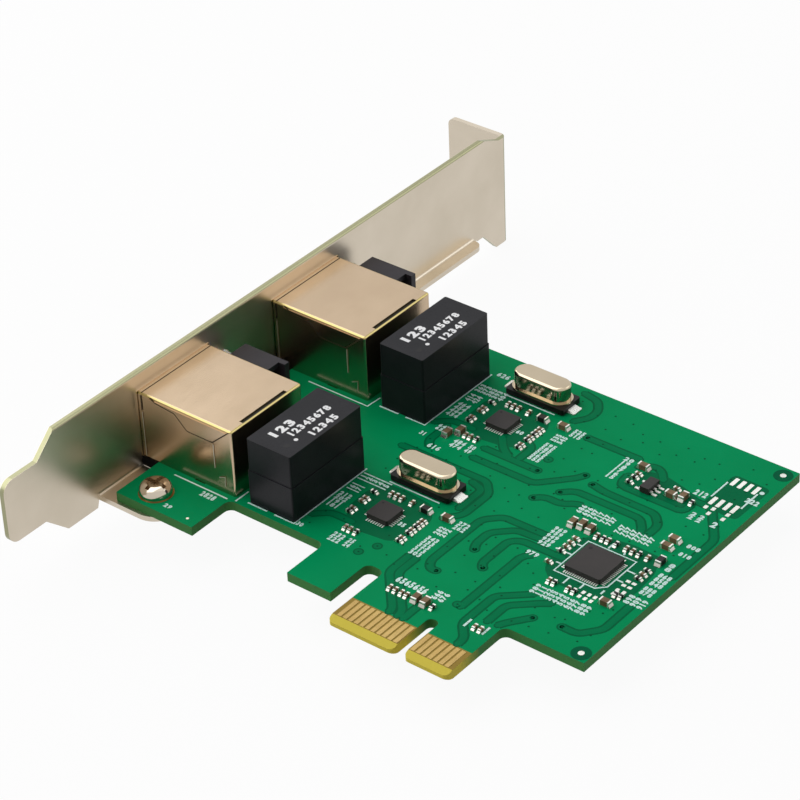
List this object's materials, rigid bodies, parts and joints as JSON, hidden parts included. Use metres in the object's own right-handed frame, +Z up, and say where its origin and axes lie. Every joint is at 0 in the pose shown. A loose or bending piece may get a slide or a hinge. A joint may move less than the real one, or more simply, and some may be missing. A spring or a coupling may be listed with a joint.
{
  "type": "network interface card",
  "caption": "Network card: a green circuit board with an edge connector, shielded sockets and transformers, on a full-height metal bracket.",
  "frame": {"origin": "on the outer face of the bracket, level with the component side of the circuit board and in line with the tips of its edge fingers", "axes": "+X along the board, away from the bracket and into the computer; +Y from the edge fingers towards the bracket's flange, and the bracket's longest way; +Z up from the component side of the board"},
  "size_m": [0.0944, 0.12, 0.0222],
  "materials": {
    "board_green": "green solder mask over glass-fibre board",
    "finger_gold": "thin gold plating, smooth",
    "bracket_steel": "nickel-plated steel sheet, satin",
    "screw_steel": "plated, smooth",
    "shield_metal": "thin nickel-plated sheet, half bright",
    "socket_plastic": "moulded, matt",
    "contact_gold": "gold-plated spring wire",
    "holder_plastic": "moulded, matt",
    "lamp_plastic": "clear, milky inside",
    "tin_plate": "tinned, dull",
    "transformer_plastic": "moulded, half gloss",
    "crystal_metal": "pressed and polished",
    "crystal_plastic": "flat moulded base",
    "chip_plastic": "fine matt moulding",
    "capacitor_ceramic": "sintered ceramic",
    "resistor_ceramic": "glazed dark face"
  },
  "bodies": {
    "root": {"bracket": "bracket_steel", "bracket_screw": "screw_steel", "chip_capacitors": "capacitor_ceramic", "chip_resistors": "resistor_ceramic", "circuit_board": "board_green", "crystal_base_1": "crystal_plastic", "crystal_base_2": "crystal_plastic", "crystal_can_1": "crystal_metal", "crystal_can_2": "crystal_metal", "crystal_terminals_1": "tin_plate", "crystal_terminals_2": "tin_plate", "edge_fingers_lower": "finger_gold", "edge_fingers_upper": "finger_gold", "jack_housing_1": "socket_plastic", "jack_housing_2": "socket_plastic", "jack_shield_1": "shield_metal", "jack_shield_2": "shield_metal", "jack_wires_1": "contact_gold", "jack_wires_2": "contact_gold", "lamp_holder_1": "holder_plastic", "lamp_holder_2": "holder_plastic", "lamp_leads_1": "tin_plate", "lamp_leads_2": "tin_plate", "lamps_1": "lamp_plastic", "lamps_2": "lamp_plastic", "main_chip": "chip_plastic", "main_chip_pads": "tin_plate", "port_chip_1": "chip_plastic", "port_chip_1_pads": "tin_plate", "port_chip_2": "chip_plastic", "port_chip_2_pads": "tin_plate", "regulator": "chip_plastic", "regulator_leads": "tin_plate", "small_part_ends": "tin_plate", "transformer_base_1": "transformer_plastic", "transformer_base_2": "transformer_plastic", "transformer_cover_1": "transformer_plastic", "transformer_cover_2": "transformer_plastic", "transformer_pins_1": "tin_plate", "transformer_pins_2": "tin_plate"}
  },
  "joints": []
}
